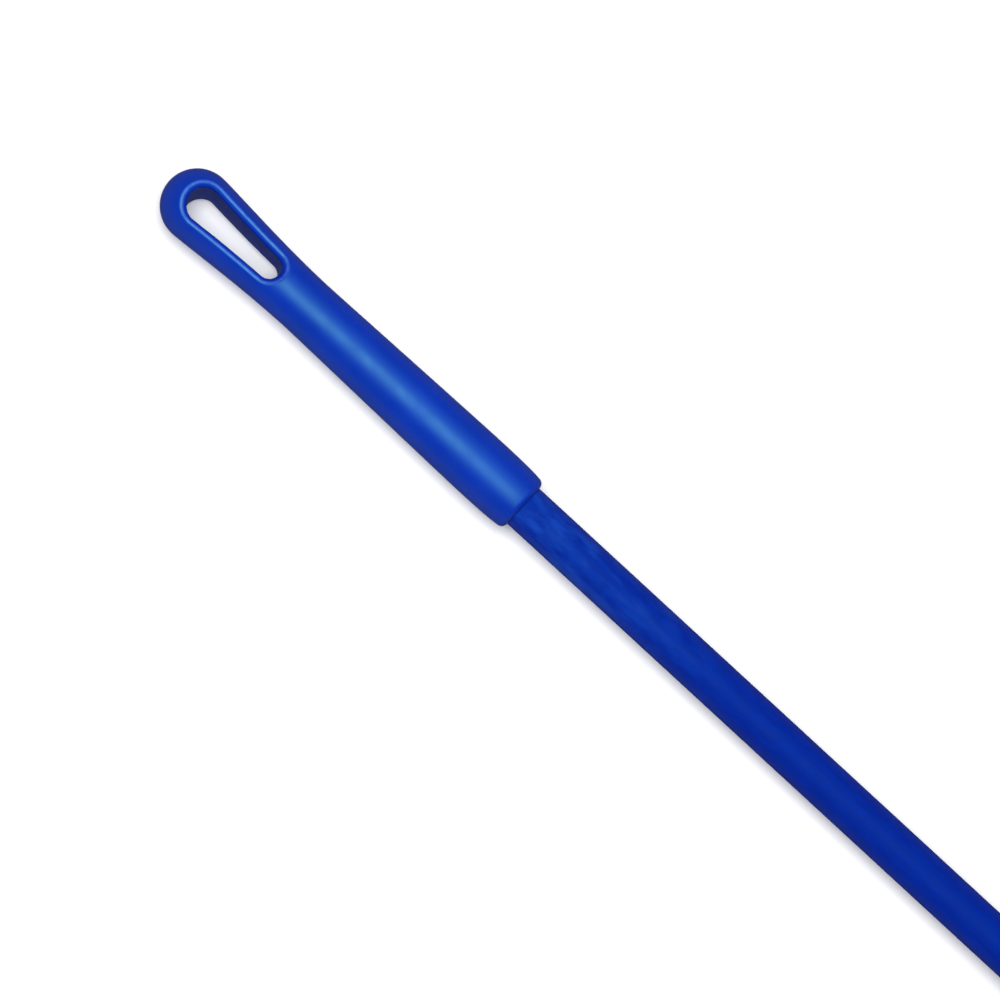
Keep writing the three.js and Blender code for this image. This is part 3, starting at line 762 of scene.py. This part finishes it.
def make_seal():
    """The wiper seal with its two lips, and the ring that holds it in the nut."""
    outside, tip = SEAL_POCKET - 0.1, INNER_RADIUS + 0.1
    start, end = span("wiper_seal")
    lip = [
        (start, INNER_RADIUS + 0.9, 0.3),
        (start, outside, 0.2),
        (end, outside, 0.2),
        (end, INNER_RADIUS + 0.9, 0.3),
        (end + 0.5, tip, 0.1),
        (end - 0.6, tip, 0.1),
    ]
    turned_piece("wiper_lip", lip, 0.2, "collar", "wiper_seal", "rubber_black")
    start, end = span("seal_retainer")
    outside = SEAL_POCKET - 0.05
    ring = [(start, INNER_RADIUS + 1.1), (start, outside), (end, outside), (end, INNER_RADIUS + 1.6, 0.5)]
    turned_piece("seal_ring", ring, 0.2, "collar", "seal_retainer", "lock_black")


# ---- Head, measured from the socket's rim ----

HEAD_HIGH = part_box("hook_head")[1]
HEAD_END = span("tip_bumper")[1] - HEAD_AT
HOOK_REACH = (HEAD_HIGH.y - AXIS.y) / MM
SOCKET_RADIUS, COLLAR_RADIUS, COLLAR_LENGTH = 15, 16, 8
SOCKET_DEPTH = 60
HEAD_BORE = INNER_RADIUS + 0.12
PLATE_HALF, PLATE_ROUNDING = 9, 5
THROAT_AT, THROAT_ASIDE, THROAT_RADIUS = 88, 33, 19
HOOK_OUTER = HOOK_REACH - THROAT_ASIDE
TIP_AT, TIP_RADIUS = 64, 6.5
PRONG_HALF, PRONG_END, ROOT_FILLET = 9, 148, 14
SPIGOT_RADIUS = 5
SCREWS = {"left": (22, 1), "right": (38, -1)}
SCREW_SEAT = 13.2


def make_curves():
    """The socket's radius and the edge opposite the hook, along the head, each with its slope."""
    socket = np.concatenate([
        [(-5, SOCKET_RADIUS), (49.9, SOCKET_RADIUS)],
        bend((50, SOCKET_RADIUS), (66, SOCKET_RADIUS), (78, 11), (90, 6)),
        [(112, -12)],
    ])
    keel = np.concatenate([
        [(0, -13.5)],
        bend((46, -13.5), (70, -13.5), (80, -PRONG_HALF), (110, -PRONG_HALF)),
        [(200, -PRONG_HALF)],
    ])
    return [(curve, np.gradient(curve[:, 1], curve[:, 0])) for curve in (socket, keel)]


(SOCKET_CURVE, SOCKET_SLOPE), (KEEL_CURVE, KEEL_SLOPE) = make_curves()


def above(curve, slope, x, height):
    """How far a height is above a curve."""
    rise = height - np.interp(x, curve[:, 0], curve[:, 1])
    return rise / np.sqrt(1 + np.interp(x, curve[:, 0], slope) ** 2)


def to_line(x, y, start, end):
    """The distance to a line, with its sign: positive on the left of the way from start to end."""
    start, end = np.array(start, float), np.array(end, float)
    length = np.hypot(*(end - start))
    way = (end - start) / length
    p = (x - start[0]) * way[0] + (y - start[1]) * way[1]
    q = (y - start[1]) * way[0] - (x - start[0]) * way[1]
    return np.copysign(np.hypot(p - np.clip(p, 0, length), q), q)


def to_arc(x, y, centre, radius, first, last, solid):
    """The distance to an arc between two angles, positive outside it if it bounds something solid."""
    u, v = x - centre[0], y - centre[1]
    middle, half = math.radians((first + last) / 2), math.radians(abs(last - first) / 2)
    turn = (np.arctan2(v, u) - middle + math.pi) % (2 * math.pi) - math.pi
    turn = np.clip(turn, -half, half) + middle
    distance = np.hypot(u - radius * np.cos(turn), v - radius * np.sin(turn))
    side = np.hypot(u, v) - radius
    return np.copysign(distance, side if solid else -side)


def hook_outline(x, y):
    """The distance outside the hook's outline, seen from above."""
    fillet_aside = PRONG_HALF + ROOT_FILLET
    rise = THROAT_ASIDE - fillet_aside
    fillet_at = THROAT_AT + math.sqrt((HOOK_OUTER + ROOT_FILLET) ** 2 - rise**2)
    meeting = math.degrees(math.atan2(rise, fillet_at - THROAT_AT))
    throat = (THROAT_AT, THROAT_ASIDE)
    tip_aside = HOOK_REACH - TIP_RADIUS
    edges = [
        to_line(x, y, (fillet_at + 90, PRONG_HALF), (fillet_at, PRONG_HALF)) * -1,
        to_arc(x, y, (fillet_at, fillet_aside), ROOT_FILLET, 270, 180 - meeting, False),
        to_arc(x, y, throat, HOOK_OUTER, -meeting, 90, True),
        to_line(x, y, (THROAT_AT, HOOK_REACH), (TIP_AT, HOOK_REACH)) * -1,
        to_arc(x, y, (TIP_AT, tip_aside), TIP_RADIUS, 90, 270, True),
        to_line(x, y, (TIP_AT, tip_aside - TIP_RADIUS), (THROAT_AT, THROAT_ASIDE + THROAT_RADIUS)) * -1,
        to_arc(x, y, throat, THROAT_RADIUS, -90, 90, False),
        to_line(x, y, (THROAT_AT, THROAT_ASIDE - THROAT_RADIUS), (0, THROAT_ASIDE - THROAT_RADIUS)) * -1,
    ]
    edges = np.stack(edges)
    nearest = np.abs(edges).argmin(0)
    upper = np.take_along_axis(edges, nearest[None], 0)[0]
    keel = -above(KEEL_CURVE, KEEL_SLOPE, x, y)
    return np.maximum(np.maximum(upper, keel), 46 - x)


def head_field(p):
    """The head: the flat hook and prong, the socket with its band, the tip's spigot and the screw seats."""
    x, y, z = p.T
    r = np.hypot(y, z)
    rounding = np.interp(x, (112, PRONG_END - 3), (PLATE_ROUNDING, PRONG_HALF - 0.05))
    plate = round_cut(hook_outline(x, y), np.abs(z) - PLATE_HALF, rounding)
    plate = round_cut(plate, x - PRONG_END, 0.8)
    socket = round_cut(above(SOCKET_CURVE, SOCKET_SLOPE, x, r), -x, 1)
    collar = round_cut(round_cut(r - COLLAR_RADIUS, x - COLLAR_LENGTH, 0.8), -x, 1.2)
    spigot = np.maximum(r - SPIGOT_RADIUS, np.maximum(x - PRONG_END - 10, PRONG_END - 8 - x))
    fillet = np.interp(x, (42, 72), (0.2, 7))
    solid = round_join(round_join(plate, socket, fillet), collar, 0.6)
    solid = np.minimum(solid, spigot)
    solid = round_cut(solid, -np.maximum(r - HEAD_BORE, x - SOCKET_DEPTH), 0.5)
    for at, side in SCREWS.values():
        from_screw = np.hypot(x - at, z)
        seat = np.maximum(from_screw - 4, SCREW_SEAT - side * y)
        hole = np.maximum(from_screw - 2.2, 5 - side * y)
        solid = round_cut(round_cut(solid, -seat, 0.3), -hole, 0.2)
    return solid


def make_head():
    along = stretches(-1.2, (12, 0.5), (17, 0.6), (43, 0.35), (PRONG_END - 8, 0.8), (PRONG_END + 12, 0.6))
    side, screws = COLLAR_RADIUS + 1.2, 4.6
    aside = stretches(-side, (side, 0.6), (HOOK_REACH + 1.2, 0.7))
    upwards = stretches(-side, (-screws, 0.6), (screws, 0.35), (side, 0.6))
    points, faces, normals = surface(head_field, along, aside, upwards)
    points[:, 0] += HEAD_AT
    look = LOOKS["head_white"]
    add_mesh("head", points, faces, "inner_section", ["hook_head"], look, normals)


def make_screws():
    """Pan heads with a cross recess."""
    sides = 96
    angles = np.arange(sides) * 2 * math.pi / sides
    radii = np.concatenate([np.linspace(0.05, 3.35, 40), [3.5, 3.58, 3.6, 3.6, 3.55, 1.9, 1.9]])
    seat = SCREW_SEAT + 0.02
    heights = []
    for radius in radii[:40]:
        crown = seat + 0.9 + 1.75 * math.sqrt(1 - (radius / 3.9) ** 2)
        u, v = radius * np.cos(angles), radius * np.sin(angles)
        arm = np.maximum(np.minimum(np.abs(u), np.abs(v)) - 0.36, np.maximum(np.abs(u), np.abs(v)) - 1.75)
        heights.append(crown - 1.3 * np.clip(0.5 - arm / 0.16, 0, 1) * (1 - 0.25 * radius))
    heights += [np.full(sides, seat + h) for h in (1.55, 1.35, 1.1, 0.2, 0, 0, -5)]
    points, faces = dome(radii, heights, sides)
    for name, (at, side) in SCREWS.items():
        add_mesh(
            f"screw_{name}", set_aside(points, HEAD_AT + at, side), faces, "inner_section",
            [f"head_screw_{name}"], LOOKS["stainless"],
        )


def make_bumper():
    """A rubber cap with a bead at its rim and a shallow groove behind its nose."""
    start = HEAD_AT + PRONG_END + 0.3
    nose = HEAD_AT + HEAD_END - PRONG_HALF
    angles = np.radians(np.linspace(90, 4, 16))
    arc = [(nose + PRONG_HALF * math.cos(a), PRONG_HALF * math.sin(a), 0.3) for a in angles]
    groove = PRONG_HALF - 0.5
    outline = [
        (start, 5.3, 0.2),
        (start, PRONG_HALF, 1.2),
        (start + 3, PRONG_HALF, 0.4),
        (start + 3.5, groove, 0.4),
        (start + 4.5, groove, 0.4),
        (start + 5, PRONG_HALF, 0.4),
        *arc,
        (nose + PRONG_HALF, 0.02, 0),
        (start + 12, 0.02, 0),
        (start + 12, 5.3, 0.2),
    ]
    turned_piece("bumper", outline, 0.3, "inner_section", "tip_bumper", "rubber_black", 4)


# ---- Stage ----


def make_floor():
    """A plain pale floor, eight metres from its middle to each edge."""
    half = 8
    corners = [(-half, -half, 0), (half, -half, 0), (half, half, 0), (-half, half, 0)]
    mesh = bpy.data.meshes.new("floor")
    mesh.from_pydata(corners, [], [(0, 1, 2, 3)])
    floor = bpy.data.objects.new("floor", mesh)
    bpy.context.scene.collection.objects.link(floor)
    m = Material("pale_floor", (0.86, 0.86, 0.86), 0.85, {"Specular IOR Level": 0.1})
    mesh.materials.append(m.material)
    floor.visible_glossy = False


def area_light(name, place, facing, length, width, watts):
    """A rectangular light at a place, facing a point, with its length along the pole."""
    data = bpy.data.lights.new(name, "AREA")
    data.shape = "RECTANGLE"
    data.size, data.size_y = length, width
    data.energy = watts
    light = bpy.data.objects.new(name, data)
    back = (place - facing).normalized()
    along = (ALONG - back * ALONG.dot(back)).normalized()
    turn = Matrix((along, back.cross(along), back)).transposed().to_4x4()
    light.matrix_world = Matrix.Translation(place) @ turn
    bpy.context.scene.collection.objects.link(light)


def make_light():
    """A softbox above the grip, a wide panel over the whole object, and a little light all round."""
    scene = bpy.context.scene
    world = bpy.data.worlds.new("studio")
    world.use_nodes = True
    background = world.node_tree.nodes["Background"]
    background.inputs["Color"].default_value = (1, 1, 1, 1)
    background.inputs["Strength"].default_value = 0.12
    scene.world = world
    scene.view_settings.view_transform = "Standard"
    lip = Vector((GRIP_HIGH.x, AXIS.y, AXIS.z))
    softbox_length, softbox_width, height = 1.0, 1.1, 2.0
    middle = lip - ALONG * softbox_length / 4
    towards = (BACK + ACROSS * math.tan(math.radians(4))).normalized()
    area_light("softbox", middle + towards * height, middle, softbox_length, softbox_width, 36)
    area_light("panel", Vector((0, 0.2, 3.5)), Vector((0, 0.2, 0)), 7.0, 6.0, 180)


def dress_cad_nodes():
    """Gives each CAD node that stays in the model the procedural look of its slot."""
    for node, piece in frame["nodes"].items():
        slot = next(s["material_slot"] for s in frame["record"]["subparts"] if s["node"] == node)
        piece.data.materials.clear()
        piece.data.materials.append(LOOKS[slot])


make_grip()
make_tubes()
make_ferrule()
make_o_ring()
make_rivets()
make_lock_nut()
make_seal()
make_head()
make_screws()
make_bumper()
make_floor()
make_light()
dress_cad_nodes()
